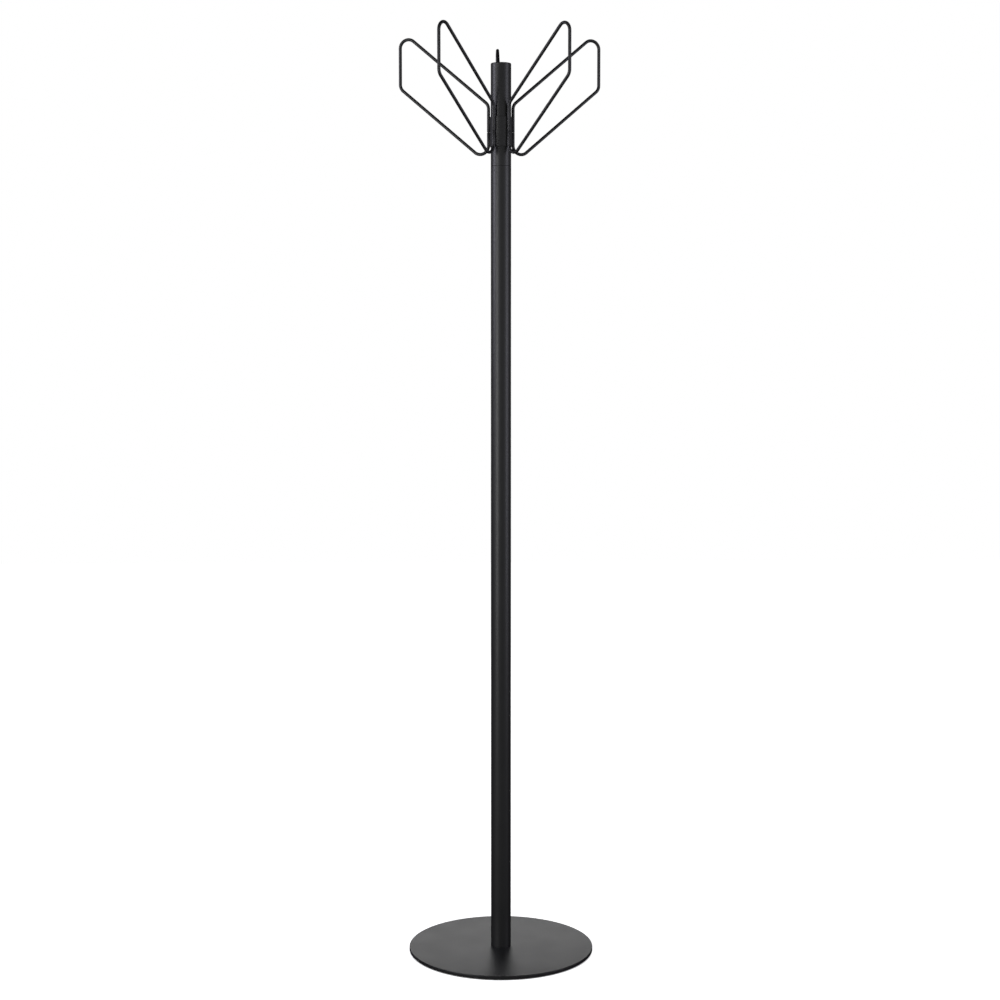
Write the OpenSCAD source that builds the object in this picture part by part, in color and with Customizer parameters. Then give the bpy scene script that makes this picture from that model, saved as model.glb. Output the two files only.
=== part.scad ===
// Standing coat rack. A round steel base plate carries a tube post in two
// lengths, and a collar near the top holds five loops of bent rod.
// The origin is on the floor, on the centre line of the post. +Z is up, and
// the back loop points along +Y. All sizes are in millimetres.

/* [Overall] */
// Height from the floor to the tips of the loops
overall_h = 1730; // [1500:5:1900]
// Drop from the tips of the loops to the top of the post
post_drop = 54; // [40:1:70]

/* [Base] */
// Diameter of the base plate
base_d = 350; // [300:5:450]
// Thickness of the base plate
base_t = 6; // [5.5:0.5:12]
// Radius on the upper and lower edges of the plate
base_edge_r = 1; // [0.5:0.25:2]
// Diameter of a floor pad
pad_d = 26; // [15:1:40]
// Thickness of a floor pad
pad_t = 2; // [1:0.5:4]
// Number of floor pads
pad_count = 5; // [3:1:8]
// Distance from the rim of the plate to the edge of a pad
pad_inset = 8; // [4:1:30]

/* [Post] */
// Outer diameter of the post tubes
post_d = 38; // [34:1:50]
// Wall thickness of the post tubes
tube_wall = 1.5; // [1:0.25:2.5]
// Length of the head tube, the upper of the two tubes
head_tube_l = 187; // [170:1:260]
// Bevel where the two tubes meet
seam_bevel = 0.4; // [0.2:0.1:0.8]
// Thickness of the top cap above the tube
cap_t = 2.5; // [2:0.25:5]
// Radius on the rim of the top cap
cap_edge_r = 1.5; // [0.5:0.25:1.75]
// Length of the cap's skirt inside the tube
cap_skirt_h = 12; // [6:1:25]

/* [Collar] */
// Height of the collar
collar_h = 55; // [45:1:60]
// Distance from the top of the post to the top of the collar
collar_drop = 99; // [94:1:102]
// Bevel on the ends of the collar
collar_bevel = 0.5; // [0.2:0.1:0.8]

/* [Coat loops] */
// Diameter of the rod
rod_d = 6; // [5:0.5:7]
// Gap between the post and the rods
rod_standoff = 2; // [1.5:0.25:3]
// Distance from the centre line of the post to a loop's outer upright
loop_reach = 197; // [160:1:230]
// Length of the uprights, measured between sharp corners
loop_side = 109; // [104:1:116]
// Slope of the arms above the horizontal
arm_angle = 40; // [36:1:44]
// Bend radius of the rod, to its centre line
bend_r = 16; // [14:0.5:16]
// Gap between the two ends of the rod, half way up the collar
rod_end_gap = 0.5; // [0.2:0.1:4]

/* [Fasteners] */
// Nominal diameter of the base screw and of the coupling stud
thread_d = 8; // [6:1:8]
// Length of the threaded inserts in the tubes
insert_h = 25; // [18:1:35]
// Length of the base screw
screw_l = 25; // [18:1:30]
// Length of the coupling stud
stud_l = 40; // [30:2:50]

/* [Hidden] */

// Going round anticlockwise from the back, seen from above
LOOPS = ["loop_back", "loop_left", "loop_front_left", "loop_front_right", "loop_right"];

$fn = 96;
eps = 0.01;           // how far a cutting shape runs past the face it cuts
fit_gap = 0.05;       // radial clearance where one piece sits inside another
thread_gap = 0.1;     // radial clearance between a thread and its hole
screw_hole_gap = 0.4; // radial clearance of the base screw in the plate

coat_black = [0.12, 0.12, 0.125];
zinc = [0.72, 0.73, 0.75];
pad_grey = [0.2, 0.2, 0.2];

// Heights above the floor
plate_z = pad_t;
foot_z = plate_z + base_t;
post_top_z = overall_h - post_drop;
tube_top_z = post_top_z - cap_t;
seam_z = tube_top_z - head_tube_l;
collar_top_z = post_top_z - collar_drop;
collar_mid_z = collar_top_z - collar_h / 2;

post_r = post_d / 2;
bore_r = post_r - tube_wall;
insert_r = bore_r - fit_gap;
thread_r = thread_d / 2;

// Countersunk head: its widest radius, its depth and its hexagon socket
head_r = thread_d * 1.05;
head_h = head_r - thread_r;
socket_af = thread_d * 0.625;
socket_depth = head_h * 0.6;

rod_r = rod_d / 2;
rod_circle_r = post_r + rod_standoff + rod_r;
collar_r = post_r + rod_standoff;
loop_spacing = 360 / len(LOOPS);
back_angle = 90;

// The loop is a parallelogram in a vertical plane through the post's centre
// line. Its highest point is on the bend at the outer upper corner, so that
// corner's sharp point lies above the finished height by tip_offset.
sharp_angle = 90 - arm_angle;
tip_offset = bend_r / tan(sharp_angle / 2) - bend_r - rod_r;
outer_top_z = overall_h + tip_offset;
outer_low_z = outer_top_z - loop_side;
arm_rise = (loop_reach - rod_circle_r) * tan(arm_angle);
inner_low_z = outer_low_z - arm_rise;
inner_top_z = outer_top_z - arm_rise;

// Corners of the loop as [distance from the centre line, height], and the
// heading of each side that starts there, in degrees above the outward level
corners = [
    [rod_circle_r, inner_low_z], [loop_reach, outer_low_z],
    [loop_reach, outer_top_z], [rod_circle_r, inner_top_z]
];
headings = [arm_angle, 90, 180 + arm_angle, 270];

function heading_at(i) = headings[(i + 4) % 4];
function direction(angle) = [cos(angle), sin(angle)];
// Angle that the rod turns through at corner i
function turn_at(i) = (heading_at(i) - heading_at(i - 1) + 360) % 360;
// Centre of the bend at corner i
function bend_centre(i) =
    corners[i] - bend_r * tan(turn_at(i) / 2) * direction(heading_at(i - 1))
    + bend_r * direction(heading_at(i - 1) + 90);
// Stations along the bend at corner i, each as [distance, height, heading]
function bend_stations(i) =
    let (steps = ceil(turn_at(i) / bend_step))
    [for (k = [0 : steps])
        let (
            heading = heading_at(i - 1) + turn_at(i) * k / steps,
            p = bend_centre(i) + bend_r * direction(heading - 90)
        )
        [p.x, p.y, heading]];

// The rod's centre line runs from its lower end, round the four corners, to
// its upper end
bend_step = 13;
rod_sides = 16;
stations = [
    [rod_circle_r, collar_mid_z - rod_end_gap / 2, 270],
    for (i = [0 : 3]) each bend_stations(i),
    [rod_circle_r, collar_mid_z + rod_end_gap / 2, 270]
];
// A ring of points round each station, square to the rod
rod_points = [
    for (s = stations, k = [0 : rod_sides - 1])
        let (
            angle = k * 360 / rod_sides,
            across = rod_r * cos(angle) * direction(s[2] - 90)
        )
        [s.x + across.x, rod_r * sin(angle), s.y + across.y]
];
last_ring = (len(stations) - 1) * rod_sides;
rod_faces = [
    [for (k = [0 : rod_sides - 1]) rod_sides - 1 - k],
    [for (k = [0 : rod_sides - 1]) last_ring + k],
    for (ring = [0 : rod_sides : last_ring - 1], k = [0 : rod_sides - 1])
        let (next = (k + 1) % rod_sides)
        [ring + k, ring + next, ring + rod_sides + next, ring + rod_sides + k]
];

// A disc with rounded upper and lower edges
module rounded_disc(r, h, edge) {
    rotate_extrude() {
        square([r - edge, h]);
        translate([0, edge]) square([r, h - 2 * edge]);
        for (z = [edge, h - edge]) translate([r - edge, z]) circle(edge, $fn = 32);
    }
}

// A tube with a bevel round its lower or its upper outer edge
module tube(h, low_bevel = 0, top_bevel = 0) {
    rotate_extrude()
        polygon([
            [bore_r, 0], [post_r - low_bevel, 0], [post_r, low_bevel],
            [post_r, h - top_bevel], [post_r - top_bevel, h], [bore_r, h]
        ]);
}

// A turned plug with a threaded hole right through it
module threaded_insert() {
    difference() {
        cylinder(r = insert_r, h = insert_h);
        translate([0, 0, -eps])
            cylinder(r = thread_r + thread_gap, h = insert_h + 2 * eps);
    }
}

module base_plate() {
    color(coat_black)
        translate([0, 0, plate_z])
            difference() {
                rounded_disc(base_d / 2, base_t, base_edge_r);
                translate([0, 0, -eps])
                    cylinder(r = thread_r + screw_hole_gap, h = base_t + 2 * eps);
                translate([0, 0, -eps])
                    cylinder(r1 = head_r + screw_hole_gap, r2 = thread_r + screw_hole_gap, h = head_h);
            }
}

module floor_pads() {
    color(pad_grey)
        for (i = [0 : pad_count - 1])
            rotate(back_angle + i * 360 / pad_count)
                translate([base_d / 2 - pad_inset - pad_d / 2, 0, 0])
                    cylinder(d = pad_d, h = pad_t);
}

module base_screw() {
    color(zinc)
        translate([0, 0, plate_z])
            difference() {
                union() {
                    cylinder(r1 = head_r, r2 = thread_r, h = head_h);
                    cylinder(r = thread_r, h = screw_l);
                }
                translate([0, 0, -eps])
                    cylinder(d = socket_af / cos(30), h = socket_depth, $fn = 6);
            }
}

module foot_insert() {
    color(zinc) translate([0, 0, foot_z]) threaded_insert();
}

module main_post() {
    color(coat_black)
        translate([0, 0, foot_z]) tube(seam_z - foot_z, top_bevel = seam_bevel);
}

module post_top_insert() {
    color(zinc) translate([0, 0, seam_z - insert_h]) threaded_insert();
}

module coupling_stud() {
    color(zinc)
        translate([0, 0, seam_z - stud_l / 2]) cylinder(r = thread_r, h = stud_l);
}

module head_insert() {
    color(zinc) translate([0, 0, seam_z]) threaded_insert();
}

module head_tube() {
    color(coat_black)
        translate([0, 0, seam_z]) tube(head_tube_l, low_bevel = seam_bevel);
}

// The cap's face lies on the tube and its skirt plugs the bore
module top_cap() {
    color(coat_black)
        translate([0, 0, tube_top_z])
            difference() {
                rotate_extrude() {
                    translate([0, -cap_skirt_h]) square([insert_r, cap_skirt_h]);
                    square([post_r, cap_t - cap_edge_r]);
                    square([post_r - cap_edge_r, cap_t]);
                    intersection() {
                        translate([post_r - cap_edge_r, cap_t - cap_edge_r])
                            circle(cap_edge_r, $fn = 32);
                        square([post_r, cap_t]);
                    }
                }
                translate([0, 0, -cap_skirt_h - eps])
                    cylinder(r = insert_r - tube_wall, h = cap_skirt_h);
            }
}

// A sleeve round the head tube. The rods stand on its outside, each touching
// it along a line
module hook_collar() {
    color(coat_black)
        translate([0, 0, collar_top_z - collar_h])
            rotate_extrude()
                polygon([
                    [post_r + fit_gap, 0], [collar_r - collar_bevel, 0],
                    [collar_r, collar_bevel], [collar_r, collar_h - collar_bevel],
                    [collar_r - collar_bevel, collar_h], [post_r + fit_gap, collar_h]
                ]);
}

// One loop: a rod bent at four corners, whose two ends meet in the middle of
// the collar with a small gap between them
module coat_loop(i) {
    color(coat_black)
        rotate(back_angle + i * loop_spacing)
            polyhedron(points = rod_points, faces = rod_faces);
}

base_plate();
floor_pads();
base_screw();
foot_insert();
main_post();
post_top_insert();
coupling_stud();
head_insert();
head_tube();
top_cap();
hook_collar();
for (i = [0 : len(LOOPS) - 1])
    coat_loop(i);
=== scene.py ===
# %% [markdown]
# # A standing coat rack in black powder coat
#
# The rack is a heavy round plate, a tube post in two lengths, and a collar
# with five loops of bent rod. The CAD model gives most sizes and places.
# This file builds the finished surfaces round it, one piece at a time.
# Everything is in metres, with +Z up and the origin on the floor.

import math

import bmesh
import bpy
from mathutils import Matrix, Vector


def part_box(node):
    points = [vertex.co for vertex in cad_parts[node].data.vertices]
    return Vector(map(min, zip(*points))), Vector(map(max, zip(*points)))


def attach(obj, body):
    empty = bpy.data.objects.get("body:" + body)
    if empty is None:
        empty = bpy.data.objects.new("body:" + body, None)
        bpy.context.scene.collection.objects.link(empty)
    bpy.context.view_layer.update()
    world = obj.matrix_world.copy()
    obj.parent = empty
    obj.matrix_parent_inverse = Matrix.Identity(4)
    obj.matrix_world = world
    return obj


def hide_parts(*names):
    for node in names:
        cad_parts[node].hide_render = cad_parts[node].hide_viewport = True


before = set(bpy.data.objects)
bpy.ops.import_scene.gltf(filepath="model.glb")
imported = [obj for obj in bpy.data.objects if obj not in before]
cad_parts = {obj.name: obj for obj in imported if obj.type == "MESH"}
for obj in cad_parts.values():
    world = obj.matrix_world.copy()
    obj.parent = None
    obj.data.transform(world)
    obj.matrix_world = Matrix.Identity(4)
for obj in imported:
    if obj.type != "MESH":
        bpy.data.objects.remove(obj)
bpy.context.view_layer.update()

MM = 0.001
BODY = "rack"

# %% [markdown]
# ## Sizes taken from the frame
#
# A turned or bent piece needs only a few numbers. Most can be read from the
# boxes of the CAD nodes: the plate's box gives its radius and thickness, and
# the back loop lies in the YZ plane, so its box gives the rod's diameter and
# the two radii at which the rod stands upright. The few that a box can't give,
# such as a bend radius, are named here.

# %% Read the sizes
plate_low, plate_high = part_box("base_plate")
post_low, post_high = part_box("main_post")
head_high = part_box("head_tube")[1]
cap_low, cap_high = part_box("top_cap")
collar_low, collar_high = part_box("hook_collar")
loop_low, loop_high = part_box("loop_back")
pads_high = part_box("floor_pads")[1]

plate_r = plate_high.x
post_r = post_high.x
seam_z = post_high.z
rod_r = loop_high.x
rod_circle_r = loop_low.y + rod_r
loop_reach = loop_high.y - rod_r
collar_r = collar_high.x
collar_mid_z = (collar_low.z + collar_high.z) / 2

TUBE_WALL = 1.5 * MM
PLATE_EDGE_R = 1.0 * MM
SEAM_BEVEL = 0.4 * MM
CAP_EDGE_R = 1.5 * MM
CAP_FLOOR = 2 * MM
COLLAR_BEVEL = 0.5 * MM
FIT_GAP = 0.05 * MM
ARM_ANGLE = math.radians(40)
BEND_R = 16 * MM
LOOP_SIDE = 109 * MM
ROD_END_GAP = 0.5 * MM
ROD_END_EASE = 0.5 * MM
SCREW_HOLE_R = 4.4 * MM
COUNTERSINK_R = 8.8 * MM
COUNTERSINK_H = 4.4 * MM
PAD_R = 13 * MM
PAD_COUNT = 5
LOOP_NAMES = ["loop_back", "loop_left", "loop_front_left", "loop_front_right", "loop_right"]
LOOP_SPACING = math.radians(72)
BACK_ANGLE = math.radians(90)
bore_r = post_r - TUBE_WALL

print(f"plate radius {plate_r:.4f}, post radius {post_r:.4f}, joint at z {seam_z:.4f}")
print(f"rod radius {rod_r:.4f}, uprights at {rod_circle_r:.4f} and {loop_reach:.4f}")

# %% [markdown]
# ## Black powder coat
#
# Powder coat is a plastic skin, 60 to 90 microns thick, baked on to the
# steel. It isn't quite smooth: it has a soft ripple like orange peel, about a
# millimetre across, and a finer grain over it. The gloss wanders a little as
# well, because the skin isn't equally thick everywhere. Paint could be a flat
# colour with one roughness, but then the highlights would have hard clean
# edges that no coated tube has. Two noises drive the bump, and a slow third
# one drives roughness and colour. All of them read Object coordinates, so the
# grain has its real size on every piece.

# %% Material helpers
def new_material(name):
    """An empty node material with its shader, and the function that adds a node."""
    material = bpy.data.materials.new(name)
    material.use_nodes = True
    tree = material.node_tree
    tree.nodes.clear()
    output = tree.nodes.new("ShaderNodeOutputMaterial")
    shader = tree.nodes.new("ShaderNodeBsdfPrincipled")
    tree.links.new(shader.outputs["BSDF"], output.inputs["Surface"])
    return material, tree, shader


def noise(tree, coordinates, scale, detail=2.0):
    """A noise whose features are about 1 / scale metres across."""
    node = tree.nodes.new("ShaderNodeTexNoise")
    node.inputs["Scale"].default_value = scale
    node.inputs["Detail"].default_value = detail
    tree.links.new(coordinates, node.inputs["Vector"])
    return node.outputs["Fac"]


def span(tree, value, near, far, low, high):
    """Maps near..far on to low..high, and holds the ends."""
    node = tree.nodes.new("ShaderNodeMapRange")
    node.inputs["From Min"].default_value = near
    node.inputs["From Max"].default_value = far
    node.inputs["To Min"].default_value = low
    node.inputs["To Max"].default_value = high
    tree.links.new(value, node.inputs["Value"])
    return node.outputs["Result"]


def spread(tree, value, low, high):
    """Maps the middle of a noise on to low..high."""
    return span(tree, value, 0.3, 0.7, low, high)


def bump(tree, height, strength, distance, under=None):
    """A bump, laid over an earlier one if there is one."""
    node = tree.nodes.new("ShaderNodeBump")
    node.inputs["Strength"].default_value = strength
    node.inputs["Distance"].default_value = distance
    tree.links.new(height, node.inputs["Height"])
    if under is not None:
        tree.links.new(under, node.inputs["Normal"])
    return node.outputs["Normal"]


def mix_colours(tree, factor, first, second):
    """A colour between two, by factor."""
    node = tree.nodes.new("ShaderNodeMix")
    node.data_type = "RGBA"
    node.inputs["A"].default_value = (*first, 1)
    node.inputs["B"].default_value = (*second, 1)
    tree.links.new(factor, node.inputs["Factor"])
    return node.outputs["Result"]


# %% Powder coat
def powder_coat():
    material, tree, shader = new_material("black_powder_coat")
    place = tree.nodes.new("ShaderNodeTexCoord").outputs["Object"]
    peel = bump(tree, noise(tree, place, 700, 1.0), 0.3, 0.03 * MM)
    grain = bump(tree, noise(tree, place, 2600, 2.0), 0.3, 0.015 * MM, peel)
    tree.links.new(grain, shader.inputs["Normal"])
    slow = noise(tree, place, 18, 3.0)
    tree.links.new(spread(tree, slow, 0.405, 0.435), shader.inputs["Roughness"])
    tint = mix_colours(tree, slow, (0.011, 0.011, 0.012), (0.016, 0.016, 0.017))
    tree.links.new(tint, shader.inputs["Base Color"])
    shader.inputs["IOR"].default_value = 1.5
    return material


def zinc_plate():
    material, tree, shader = new_material("zinc_plated_steel")
    place = tree.nodes.new("ShaderNodeTexCoord").outputs["Object"]
    rings = tree.nodes.new("ShaderNodeTexWave")
    rings.bands_direction = "Z"
    rings.inputs["Scale"].default_value = 400
    rings.inputs["Distortion"].default_value = 0.6
    tree.links.new(place, rings.inputs["Vector"])
    turned_marks = bump(tree, rings.outputs["Fac"], 0.3, 0.02 * MM)
    tree.links.new(turned_marks, shader.inputs["Normal"])
    cloud = noise(tree, place, 140, 3.0)
    tree.links.new(spread(tree, cloud, 0.24, 0.38), shader.inputs["Roughness"])
    tint = mix_colours(tree, cloud, (0.55, 0.56, 0.58), (0.66, 0.67, 0.68))
    tree.links.new(tint, shader.inputs["Base Color"])
    shader.inputs["Metallic"].default_value = 1.0
    return material


def dark_rubber():
    material, tree, shader = new_material("dark_rubber")
    place = tree.nodes.new("ShaderNodeTexCoord").outputs["Object"]
    grain = bump(tree, noise(tree, place, 1800, 3.0), 0.5, 0.05 * MM)
    tree.links.new(grain, shader.inputs["Normal"])
    cloud = noise(tree, place, 90, 2.0)
    tree.links.new(spread(tree, cloud, 0.7, 0.85), shader.inputs["Roughness"])
    tint = mix_colours(tree, cloud, (0.02, 0.02, 0.02), (0.035, 0.034, 0.033))
    tree.links.new(tint, shader.inputs["Base Color"])
    return material


coat = powder_coat()
zinc = zinc_plate()
rubber = dark_rubber()
print("materials:", coat.name, zinc.name, rubber.name)

# %% [markdown]
# ## Turned pieces
#
# The plate, the tubes, the cap and the pads are all round about the post's
# centre line. A maker would turn them or cut them from tube, and the mesh is
# made the same way: one outline, spun once round the Z axis. A stock cylinder
# would need its hole, bevels and countersink added later, while an outline
# has them from the start.

# %% Spin an outline
def arc(centre_r, centre_z, radius, start, end, steps=8):
    """Points on an arc, as (distance from the axis, height); angles in degrees."""
    angles = [math.radians(start + (end - start) * k / steps) for k in range(steps + 1)]
    return [(centre_r + radius * math.cos(a), centre_z + radius * math.sin(a)) for a in angles]


def finish_mesh(mesh, material, sharp_degrees=30):
    """Smooth shading with true corners kept sharp, and one material."""
    mesh.shade_smooth()
    mesh.set_sharp_from_angle(angle=math.radians(sharp_degrees))
    mesh.materials.clear()
    mesh.materials.append(material)


def turned(name, outline, material, steps=128):
    """Spins a closed outline of (distance, height) points round the Z axis."""
    bm = bmesh.new()
    points = [bm.verts.new((r, 0, z)) for r, z in outline]
    ring = points + points[:1]
    edges = [bm.edges.new(pair) for pair in zip(ring, ring[1:])]
    bmesh.ops.spin(
        bm, geom=points + edges, cent=(0, 0, 0), axis=(0, 0, 1),
        angle=2 * math.pi, steps=steps, use_merge=True,
    )
    bmesh.ops.remove_doubles(bm, verts=bm.verts, dist=1e-7)
    bmesh.ops.recalc_face_normals(bm, faces=bm.faces)
    mesh = bpy.data.meshes.new(name)
    bm.to_mesh(mesh)
    bm.free()
    finish_mesh(mesh, material)
    piece = bpy.data.objects.new(name, mesh)
    bpy.context.scene.collection.objects.link(piece)
    print(f"{name}: {len(mesh.polygons)} faces")
    return piece


def stand_for(piece, node):
    """The piece rides with the rack and takes the CAD node's place."""
    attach(piece, BODY)
    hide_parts(node)


# %% [markdown]
# ## The base plate
#
# A disc of 6 mm steel keeps the rack upright. Its edges are broken to a small
# radius, which catches a thin line of light, and the hole in the middle is
# countersunk from below so that the screw doesn't touch the floor.

# %% Base plate
def base_plate():
    low, high, edge = plate_low.z, plate_high.z, PLATE_EDGE_R
    outline = [(SCREW_HOLE_R, high), (SCREW_HOLE_R, low + COUNTERSINK_H), (COUNTERSINK_R, low)]
    outline += arc(plate_r - edge, low + edge, edge, -90, 0)
    outline += arc(plate_r - edge, high - edge, edge, 0, 90)
    return turned("steel_base_plate", outline, coat, steps=256)


stand_for(base_plate(), "base_plate")

# %% [markdown]
# ## The post
#
# Two lengths of the same tube stand end to end on a threaded stud, so the
# rack packs into a shorter box. Each tube's end is bevelled by 0.4 mm, and the
# two bevels leave the fine groove that marks the joint.

# %% Tubes
def tube(name, low, high, low_bevel=0.0, high_bevel=0.0):
    outline = [
        (bore_r, low), (post_r - low_bevel, low), (post_r, low + low_bevel),
        (post_r, high - high_bevel), (post_r - high_bevel, high), (bore_r, high),
    ]
    return turned(name, outline, coat)


stand_for(
    tube("lower_post_tube", post_low.z, seam_z, high_bevel=SEAM_BEVEL),
    "main_post",
)
stand_for(
    tube("upper_head_tube", seam_z, head_high.z, low_bevel=SEAM_BEVEL),
    "head_tube",
)

# %% Cap
def top_cap():
    low, face, top = cap_low.z, head_high.z, cap_high.z
    skirt_r = bore_r - FIT_GAP
    hollow_r, ceiling = skirt_r - TUBE_WALL, face - CAP_FLOOR
    outline = [(0, top), (0, ceiling), (hollow_r, ceiling), (hollow_r, low)]
    outline += [(skirt_r, low), (skirt_r, face), (post_r, face)]
    outline += arc(post_r - CAP_EDGE_R, top - CAP_EDGE_R, CAP_EDGE_R, 0, 90)
    return turned("domed_top_cap", outline, coat)


stand_for(top_cap(), "top_cap")

# %% [markdown]
# ## The collar
#
# A short sleeve of thicker tube fits round the head tube and carries the
# loops. The rods stand on its outside, so over its height there is no gap
# behind them, and above and below it there is. It is round about the axis and
# is turned like the tubes, with a fine bevel at both ends.

# %% Collar
def hook_collar():
    low, high, bevel = collar_low.z, collar_high.z, COLLAR_BEVEL
    inner = post_r + FIT_GAP
    outline = [
        (inner, low), (collar_r - bevel, low), (collar_r, low + bevel),
        (collar_r, high - bevel), (collar_r - bevel, high), (inner, high),
    ]
    return turned("loop_collar", outline, coat)


stand_for(hook_collar(), "hook_collar")

# %% [markdown]
# ## The loops
#
# Each loop is one length of 6 mm rod, bent at four corners in one plane until
# it is a parallelogram, with both ends welded to the collar. It could be
# swept by hand along a list of points, but the shape follows a rule: two
# uprights, two arms at 40 degrees, and one bend radius at every corner. A
# Geometry Nodes tree holds that rule. It works out the corners, fillets them,
# and sweeps a circle along the path, so a change of one size bends all five
# loops anew.

# %% Helpers for node trees
def new_tree(name, sizes):
    """A geometry tree with named sizes, a material, and its two end nodes."""
    tree = bpy.data.node_groups.new(name, "GeometryNodeTree")
    face = tree.interface
    face.new_socket("Geometry", in_out="INPUT", socket_type="NodeSocketGeometry")
    for size in sizes:
        face.new_socket(size, in_out="INPUT", socket_type="NodeSocketFloat")
    face.new_socket("Material", in_out="INPUT", socket_type="NodeSocketMaterial")
    face.new_socket("Geometry", in_out="OUTPUT", socket_type="NodeSocketGeometry")
    given = tree.nodes.new("NodeGroupInput").outputs
    result = tree.nodes.new("NodeGroupOutput")
    return tree, given, result


def plug(tree, socket, value):
    """Joins a socket to another, or sets its number."""
    if isinstance(value, bpy.types.NodeSocket):
        tree.links.new(value, socket)
    else:
        socket.default_value = value


def add(tree, kind, **values):
    """A node with its inputs set by name; underscores stand for spaces."""
    node = tree.nodes.new(kind)
    for name, value in values.items():
        plug(tree, node.inputs[name.replace("_", " ")], value)
    return node


def calc(tree, operation, first, second=0.0):
    node = tree.nodes.new("ShaderNodeMath")
    node.operation = operation
    plug(tree, node.inputs[0], first)
    plug(tree, node.inputs[1], second)
    return node.outputs[0]


def end_tree(tree, geometry, given, result):
    """Real geometry, smooth, with its material: the end of every tree here."""
    real = add(tree, "GeometryNodeRealizeInstances", Geometry=geometry)
    smooth = add(tree, "GeometryNodeSetShadeSmooth", Geometry=real.outputs[0])
    coated = add(
        tree, "GeometryNodeSetMaterial", Geometry=smooth.outputs[0], Material=given["Material"]
    )
    tree.links.new(coated.outputs[0], result.inputs[0])


def plain_mesh(piece):
    """Turns a piece's modifiers into plain mesh and removes them."""
    shown = piece.evaluated_get(bpy.context.evaluated_depsgraph_get())
    mesh = bpy.data.meshes.new_from_object(shown)
    piece.modifiers.clear()
    old = piece.data
    piece.data = mesh
    bpy.data.meshes.remove(old)
    mesh.name = piece.name
    return mesh


def grown(name, tree, values):
    """Runs a tree with the given input values and keeps the result as plain mesh."""
    piece = bpy.data.objects.new(name, bpy.data.meshes.new(name + "_seed"))
    bpy.context.scene.collection.objects.link(piece)
    modifier = piece.modifiers.new("grown", "NODES")
    modifier.node_group = tree
    keys = {s.name: s.identifier for s in tree.interface.items_tree if s.in_out == "INPUT"}
    for label, value in values.items():
        modifier[keys[label]] = value
    mesh = plain_mesh(piece)
    print(f"{name}: {len(mesh.polygons)} faces")
    return piece


# %% The bent rod tree
def bent_rod_tree():
    sizes = [
        "Inner Radius", "Reach", "Top Height", "Side Length", "Arm Angle",
        "Bend Radius", "Rod Radius", "End Height", "End Gap", "Turn",
    ]
    tree, given, result = new_tree("bent_rod", sizes)
    inner, reach, bend = given["Inner Radius"], given["Reach"], given["Bend Radius"]

    # The highest corner's sharp point lies above the finished height
    half_tip = calc(tree, "DIVIDE", calc(tree, "SUBTRACT", math.pi / 2, given["Arm Angle"]), 2.0)
    tip = calc(tree, "DIVIDE", bend, calc(tree, "TANGENT", half_tip))
    tip = calc(tree, "SUBTRACT", calc(tree, "SUBTRACT", tip, bend), given["Rod Radius"])
    outer_top = calc(tree, "ADD", given["Top Height"], tip)
    outer_low = calc(tree, "SUBTRACT", outer_top, given["Side Length"])
    run = calc(tree, "SUBTRACT", reach, inner)
    rise = calc(tree, "MULTIPLY", run, calc(tree, "TANGENT", given["Arm Angle"]))
    inner_top = calc(tree, "SUBTRACT", outer_top, rise)
    inner_low = calc(tree, "SUBTRACT", outer_low, rise)
    half_gap = calc(tree, "DIVIDE", given["End Gap"], 2.0)
    low_end = calc(tree, "SUBTRACT", given["End Height"], half_gap)
    high_end = calc(tree, "ADD", given["End Height"], half_gap)

    # From the lower end, round the four corners, to the upper end
    route = [
        (inner, low_end), (inner, inner_low), (reach, outer_low),
        (reach, outer_top), (inner, inner_top), (inner, high_end),
    ]
    line = add(tree, "GeometryNodeMeshLine", Count=len(route))
    place = tree.nodes.new("GeometryNodeIndexSwitch")
    place.data_type = "VECTOR"
    while len(place.index_switch_items) < len(route):
        place.index_switch_items.new()
    tree.links.new(tree.nodes.new("GeometryNodeInputIndex").outputs[0], place.inputs["Index"])
    for number, (across, up) in enumerate(route):
        corner = add(tree, "ShaderNodeCombineXYZ", X=across, Z=up)
        tree.links.new(corner.outputs[0], place.inputs[str(number)])
    moved = add(
        tree, "GeometryNodeSetPosition", Geometry=line.outputs[0], Position=place.outputs[0]
    )

    # Bends, then the round section, then the turn about the post
    path = add(tree, "GeometryNodeMeshToCurve", Mesh=moved.outputs[0])
    bends = add(tree, "GeometryNodeFilletCurve", Curve=path.outputs[0], Radius=bend)
    bends.mode = "POLY"
    bends.inputs["Count"].default_value = 24
    section = add(tree, "GeometryNodeCurvePrimitiveCircle", Resolution=32)
    plug(tree, section.inputs["Radius"], given["Rod Radius"])
    rod = add(tree, "GeometryNodeCurveToMesh", Curve=bends.outputs[0])
    tree.links.new(section.outputs[0], rod.inputs["Profile Curve"])
    rod.inputs["Fill Caps"].default_value = True
    heading = add(tree, "ShaderNodeCombineXYZ", Z=given["Turn"])
    turned_rod = add(
        tree, "GeometryNodeTransform", Geometry=rod.outputs[0], Rotation=heading.outputs[0]
    )
    end_tree(tree, turned_rod.outputs[0], given, result)
    return tree


# %% Five loops
def ease_cut_ends(mesh, width):
    """Bevels the sharp rim at each cut end of a rod."""
    bm = bmesh.new()
    bm.from_mesh(mesh)
    rims = [edge for edge in bm.edges if edge.calc_face_angle(0) > math.radians(60)]
    bmesh.ops.bevel(bm, geom=rims, offset=width, segments=2, profile=0.5, affect="EDGES")
    bmesh.ops.recalc_face_normals(bm, faces=bm.faces)
    bm.to_mesh(mesh)
    bm.free()


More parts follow.
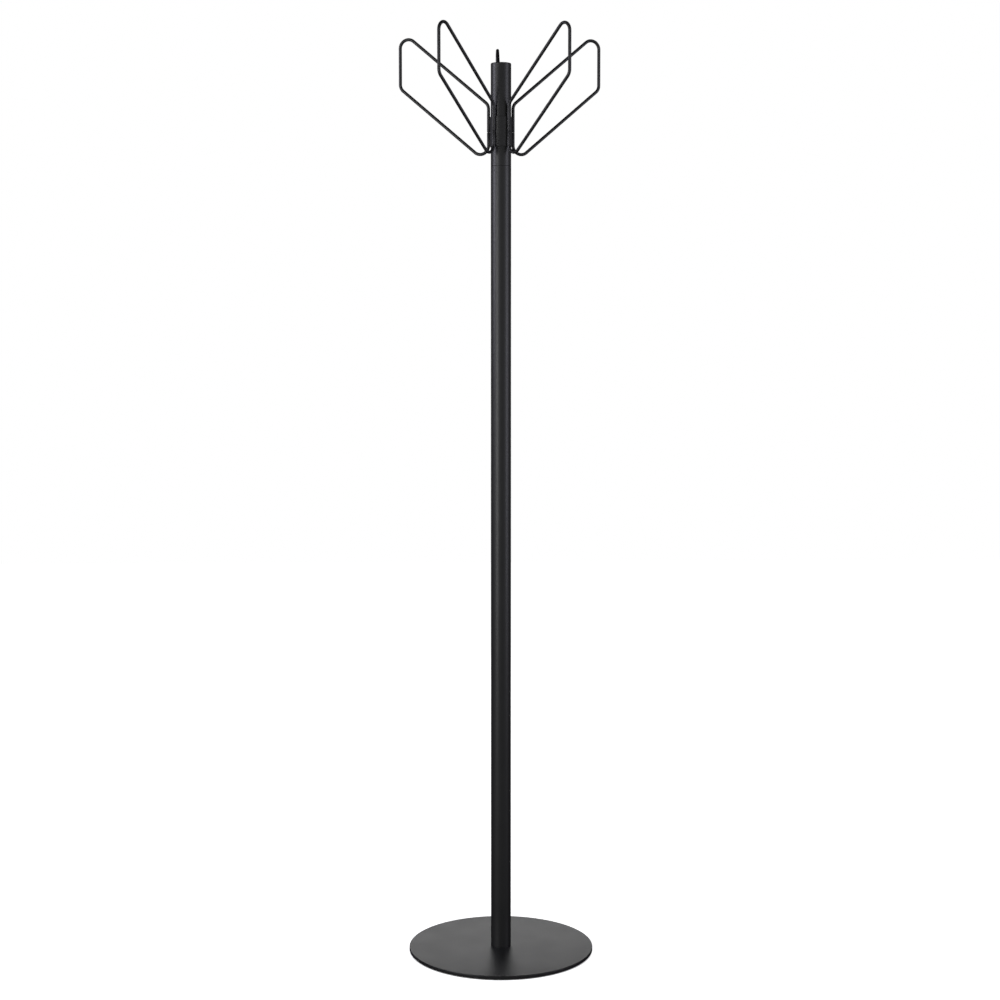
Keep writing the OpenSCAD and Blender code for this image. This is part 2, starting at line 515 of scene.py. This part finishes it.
rod_tree = bent_rod_tree()
for turn, loop_name in enumerate(LOOP_NAMES):
    loop = grown("rod_" + loop_name, rod_tree, {
        "Inner Radius": rod_circle_r, "Reach": loop_reach, "Top Height": loop_high.z,
        "Side Length": LOOP_SIDE, "Arm Angle": ARM_ANGLE, "Bend Radius": BEND_R,
        "Rod Radius": rod_r, "End Height": collar_mid_z,
        "End Gap": ROD_END_GAP, "Turn": BACK_ANGLE + turn * LOOP_SPACING, "Material": coat,
    })
    ease_cut_ends(loop.data, ROD_END_EASE)
    finish_mesh(loop.data, coat)
    stand_for(loop, loop_name)

# %% [markdown]
# ## The welds
#
# A rod that only touches a sleeve along a line would come off with the first
# heavy coat, so each end of each rod has a short weld on both of its sides.
# A weld bead is a row of small overlapping ripples. The tree nests that rule:
# ripples in a bead, two beads one above the other, a column on each side of
# the rod, and five rods round the collar.

# %% Weld beads
RIPPLES = 8
BEADS = 2
RIPPLE_R = 0.9 * MM
RIPPLE_STEP = 1.1 * MM
BEAD_STEP = 36 * MM
NOTCH_OFFSET = 0.4 * MM
NOTCH_ANGLE = math.radians(4.6)


def copies_on(tree, points, shape, rotation=None):
    node = add(tree, "GeometryNodeInstanceOnPoints", Points=points, Instance=shape)
    if rotation is not None:
        tree.links.new(rotation, node.inputs["Rotation"])
    return node.outputs[0]


def upright_row(tree, count, middle, step):
    """Points in an upright row, count of them, centred on a height."""
    half = calc(tree, "MULTIPLY", step, (count - 1) / 2)
    start = add(tree, "ShaderNodeCombineXYZ", Z=calc(tree, "SUBTRACT", middle, half))
    offset = add(tree, "ShaderNodeCombineXYZ", Z=step)
    row = add(tree, "GeometryNodeMeshLine", Count=count)
    tree.links.new(start.outputs[0], row.inputs["Start Location"])
    tree.links.new(offset.outputs[0], row.inputs["Offset"])
    return row.outputs[0]


def weld_tree():
    sizes = ["Notch Radius", "Notch Angle", "Ripple Radius", "Ripple Step", "Middle", "Bead Step"]
    tree, given, result = new_tree("weld_beads", sizes)
    ripple = add(tree, "GeometryNodeMeshIcoSphere", Subdivisions=2, Radius=given["Ripple Radius"])
    bead = copies_on(tree, upright_row(tree, RIPPLES, 0.0, given["Ripple Step"]), ripple.outputs[0])
    beads = copies_on(tree, upright_row(tree, BEADS, given["Middle"], given["Bead Step"]), bead)
    outward = add(tree, "ShaderNodeCombineXYZ", X=given["Notch Radius"])
    column = add(tree, "GeometryNodeTransform", Geometry=beads, Translation=outward.outputs[0])
    both = tree.nodes.new("GeometryNodeJoinGeometry")
    for side in (1.0, -1.0):
        lean = add(
            tree, "ShaderNodeCombineXYZ", Z=calc(tree, "MULTIPLY", given["Notch Angle"], side)
        )
        moved = add(
            tree, "GeometryNodeTransform", Geometry=column.outputs[0], Rotation=lean.outputs[0]
        )
        tree.links.new(moved.outputs[0], both.inputs[0])
    index = tree.nodes.new("GeometryNodeInputIndex").outputs[0]
    heading = calc(tree, "ADD", calc(tree, "MULTIPLY", index, LOOP_SPACING), BACK_ANGLE)
    spin = add(tree, "ShaderNodeCombineXYZ", Z=heading)
    axis = add(tree, "GeometryNodeMeshLine", Count=len(LOOP_NAMES))
    axis.inputs["Offset"].default_value = (0, 0, 0)
    end_tree(tree, copies_on(tree, axis.outputs[0], both.outputs[0], spin.outputs[0]), given, result)
    return tree


welds = grown("weld_beads", weld_tree(), {
    "Notch Radius": collar_r + NOTCH_OFFSET, "Notch Angle": NOTCH_ANGLE,
    "Ripple Radius": RIPPLE_R, "Ripple Step": RIPPLE_STEP,
    "Middle": collar_mid_z, "Bead Step": BEAD_STEP, "Material": coat,
})
finish_mesh(welds.data, coat, sharp_degrees=60)
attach(welds, BODY)

# %% [markdown]
# ## The floor pads
#
# Five thin rubber discs are stuck under the plate, close to its edge, so the
# steel never scratches the floor. One pad is turned with a soft lower edge and
# a shallow ring in its face. A small tree then places a copy at each corner of
# a regular polygon, which keeps the spacing true for any number of pads.

# %% Floor pads
def pad_ring_tree(pad, count):
    """Copies of one pad at the corners of a regular polygon."""
    tree, given, result = new_tree("pad_ring", ["Ring Radius"])
    ring = add(tree, "GeometryNodeMeshCircle", Vertices=count, Radius=given["Ring Radius"])
    lined = add(tree, "GeometryNodeTransform", Geometry=ring.outputs[0])
    lined.inputs["Rotation"].default_value = (0, 0, BACK_ANGLE)
    source = tree.nodes.new("GeometryNodeObjectInfo")
    source.inputs["Object"].default_value = pad
    copies = add(
        tree, "GeometryNodeInstanceOnPoints",
        Points=lined.outputs[0], Instance=source.outputs["Geometry"],
    )
    end_tree(tree, copies.outputs[0], given, result)
    return tree


def floor_pads():
    high, edge, dip = pads_high.z, 0.6 * MM, 0.4 * MM
    outline = [(0, high), (0, 0), (PAD_R * 0.6, 0), (PAD_R * 0.64, dip)]
    outline += [(PAD_R * 0.7, dip), (PAD_R * 0.74, 0)]
    outline += arc(PAD_R - edge, edge, edge, -90, 0)
    outline += [(PAD_R, high)]
    pad = turned("single_pad", outline, rubber, steps=64)
    ring_radius = pads_high.y - PAD_R
    pads = grown("rubber_floor_pads", pad_ring_tree(pad, PAD_COUNT), {
        "Ring Radius": ring_radius, "Material": rubber,
    })
    finish_mesh(pads.data, rubber)
    bpy.data.objects.remove(pad)
    return pads


stand_for(floor_pads(), "floor_pads")

# %% [markdown]
# ## The fasteners
#
# A countersunk screw holds the post to the plate, and a stud joins the two
# tubes. Both turn into plugs pressed in the tubes. They are hidden once the
# rack is built, apart from the screw's head under the plate, and their CAD
# shapes are already exact, so they stay as they are and only get bright zinc.

# %% Fasteners
for node_name in ["base_screw", "foot_insert", "post_top_insert", "coupling_stud", "head_insert"]:
    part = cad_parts[node_name]
    part.data.materials.clear()
    part.data.materials.append(zinc)
    print(f"{node_name}: zinc on {len(part.data.polygons)} faces")

# %% [markdown]
# ## A pale floor and soft light
#
# Black paint shows its form only by what it reflects, so the light matters
# more here than on a pale object. Tall softboxes on both sides draw two soft
# bands down the post, a low one behind the rack makes the plate's face shine,
# and the room above stays dark, which keeps the tops of the rods black. A
# single even dome would be simpler, but it would flatten the tubes.

# %% Floor
FLOOR_HALF = 6.0
FLOOR_GLOW = 1.02


def stage_floor():
    mesh = bpy.data.meshes.new("studio_floor")
    corners = [(-1, -1), (1, -1), (1, 1), (-1, 1)]
    mesh.from_pydata([(x * FLOOR_HALF, y * FLOOR_HALF, 0) for x, y in corners], [], [(0, 1, 2, 3)])
    material, tree, shader = new_material("pale_floor")
    shader.inputs["Base Color"].default_value = (0.86, 0.86, 0.86, 1)
    shader.inputs["Roughness"].default_value = 0.9
    shader.inputs["Emission Color"].default_value = (1, 1, 1, 1)
    place = tree.nodes.new("ShaderNodeTexCoord").outputs["Object"]
    away = tree.nodes.new("ShaderNodeVectorMath")
    away.operation = "LENGTH"
    tree.links.new(place, away.inputs[0])
    # The floor glows evenly white, but the glow fades to nothing between 1 mm outside the plate's
    # rim and 3 mm inside it. That fade is a painted shadow under the plate's edge.
    painted_shadow_r, bright_r = plate_r - 3 * MM, plate_r + 1 * MM
    glow = span(tree, away.outputs["Value"], painted_shadow_r, bright_r, 0.0, FLOOR_GLOW)
    tree.links.new(glow, shader.inputs["Emission Strength"])
    mesh.materials.append(material)
    floor = bpy.data.objects.new("studio_floor", mesh)
    bpy.context.scene.collection.objects.link(floor)
    floor.visible_glossy = False
    floor.visible_diffuse = False
    print(f"floor: {2 * FLOOR_HALF:.0f} m square")


stage_floor()

# %% Softboxes
COOL = (0.95, 0.94, 1.1)
NEUTRAL = (1, 1, 1)


def softbox(name, bearing, distance, height, width, tall, watts, aim_height, colour=NEUTRAL):
    """A flat light; bearing is in degrees from the camera's side, to the right."""
    light = bpy.data.lights.new(name, "AREA")
    light.shape = "RECTANGLE"
    light.size = width
    light.size_y = tall
    light.energy = watts
    light.color = colour
    lamp = bpy.data.objects.new(name, light)
    angle = math.radians(bearing)
    lamp.location = (distance * math.sin(angle), -distance * math.cos(angle), height)
    aim = Vector((0, 0, aim_height)) - lamp.location
    lamp.rotation_euler = aim.to_track_quat("-Z", "Y").to_euler()
    bpy.context.scene.collection.objects.link(lamp)
    print(f"{name}: {watts} W from {bearing} degrees")


softbox(
    "left_softbox", bearing=-84, distance=2.2, height=1.82, width=0.4, tall=0.95,
    watts=15, aim_height=1.55, colour=COOL,
)
softbox(
    "front_left_softbox", bearing=-46, distance=2.2, height=1.1, width=0.6, tall=1.5,
    watts=17, aim_height=1.1,
)
softbox(
    "right_softbox", bearing=69, distance=2.2, height=1.4, width=0.7, tall=2.0,
    watts=14, aim_height=1.3, colour=COOL,
)
softbox(
    "low_back_softbox", bearing=180, distance=3.0, height=1.1, width=1.8, tall=0.8,
    watts=10, aim_height=0.0,
)


# %% World
FRONT_GLOW = 0.55
BACK_GLOW = 0.12


def background(tree):
    node = tree.nodes.new("ShaderNodeBackground")
    node.inputs["Color"].default_value = (1, 1, 1, 1)
    return node


def room():
    world = bpy.data.worlds.new("studio_room")
    world.use_nodes = True
    tree = world.node_tree
    tree.nodes.clear()
    output = tree.nodes.new("ShaderNodeOutputWorld")
    facing = tree.nodes.new("ShaderNodeSeparateXYZ")
    tree.links.new(tree.nodes.new("ShaderNodeTexCoord").outputs["Generated"], facing.inputs[0])
    sweep = span(tree, facing.outputs["Y"], -0.2, 0.2, FRONT_GLOW, BACK_GLOW)
    ceiling = span(tree, facing.outputs["Z"], 0.25, 0.45, 1.0, 0.0)
    ground = span(tree, facing.outputs["Z"], -0.2, -0.05, 0.12, 1.0)
    walls = tree.nodes.new("ShaderNodeMath")
    walls.operation = "MULTIPLY"
    tree.links.new(ceiling, walls.inputs[0])
    tree.links.new(ground, walls.inputs[1])
    glow = tree.nodes.new("ShaderNodeMath")
    glow.operation = "MULTIPLY"
    tree.links.new(sweep, glow.inputs[0])
    tree.links.new(walls.outputs[0], glow.inputs[1])
    lit = background(tree)
    tree.links.new(glow.outputs[0], lit.inputs["Strength"])
    seen = tree.nodes.new("ShaderNodeLightPath")
    choice = tree.nodes.new("ShaderNodeMixShader")
    tree.links.new(seen.outputs["Is Camera Ray"], choice.inputs[0])
    tree.links.new(lit.outputs[0], choice.inputs[1])
    tree.links.new(background(tree).outputs[0], choice.inputs[2])
    tree.links.new(choice.outputs[0], output.inputs["Surface"])
    bpy.context.scene.world = world
    print(f"room: {FRONT_GLOW} in front, {BACK_GLOW} behind")


room()

# %% [markdown]
# ## The camera
#
# The rack is seen from the front, from about chest height and a little to the
# left of the back loop. The lens is a short telephoto at three and a half
# metres, which keeps the post's sides nearly parallel.

# %% Camera
EYE = Vector((-0.129, -3.443, 1.172))
LOOKED_AT = Vector((-0.0018, 0, 0.9377))


def camera():
    data = bpy.data.cameras.new("camera")
    data.sensor_width = 36
    data.lens = 66.06
    data.shift_y = -0.0395
    view = bpy.data.objects.new("camera", data)
    view.location = EYE
    aim = LOOKED_AT - EYE
    view.rotation_euler = aim.to_track_quat("-Z", "Y").to_euler()
    bpy.context.scene.collection.objects.link(view)
    bpy.context.scene.camera = view
    print(f"camera: {data.lens} mm lens, {EYE.length:.2f} m from the origin")


camera()
bpy.context.scene.view_settings.view_transform = "Standard"
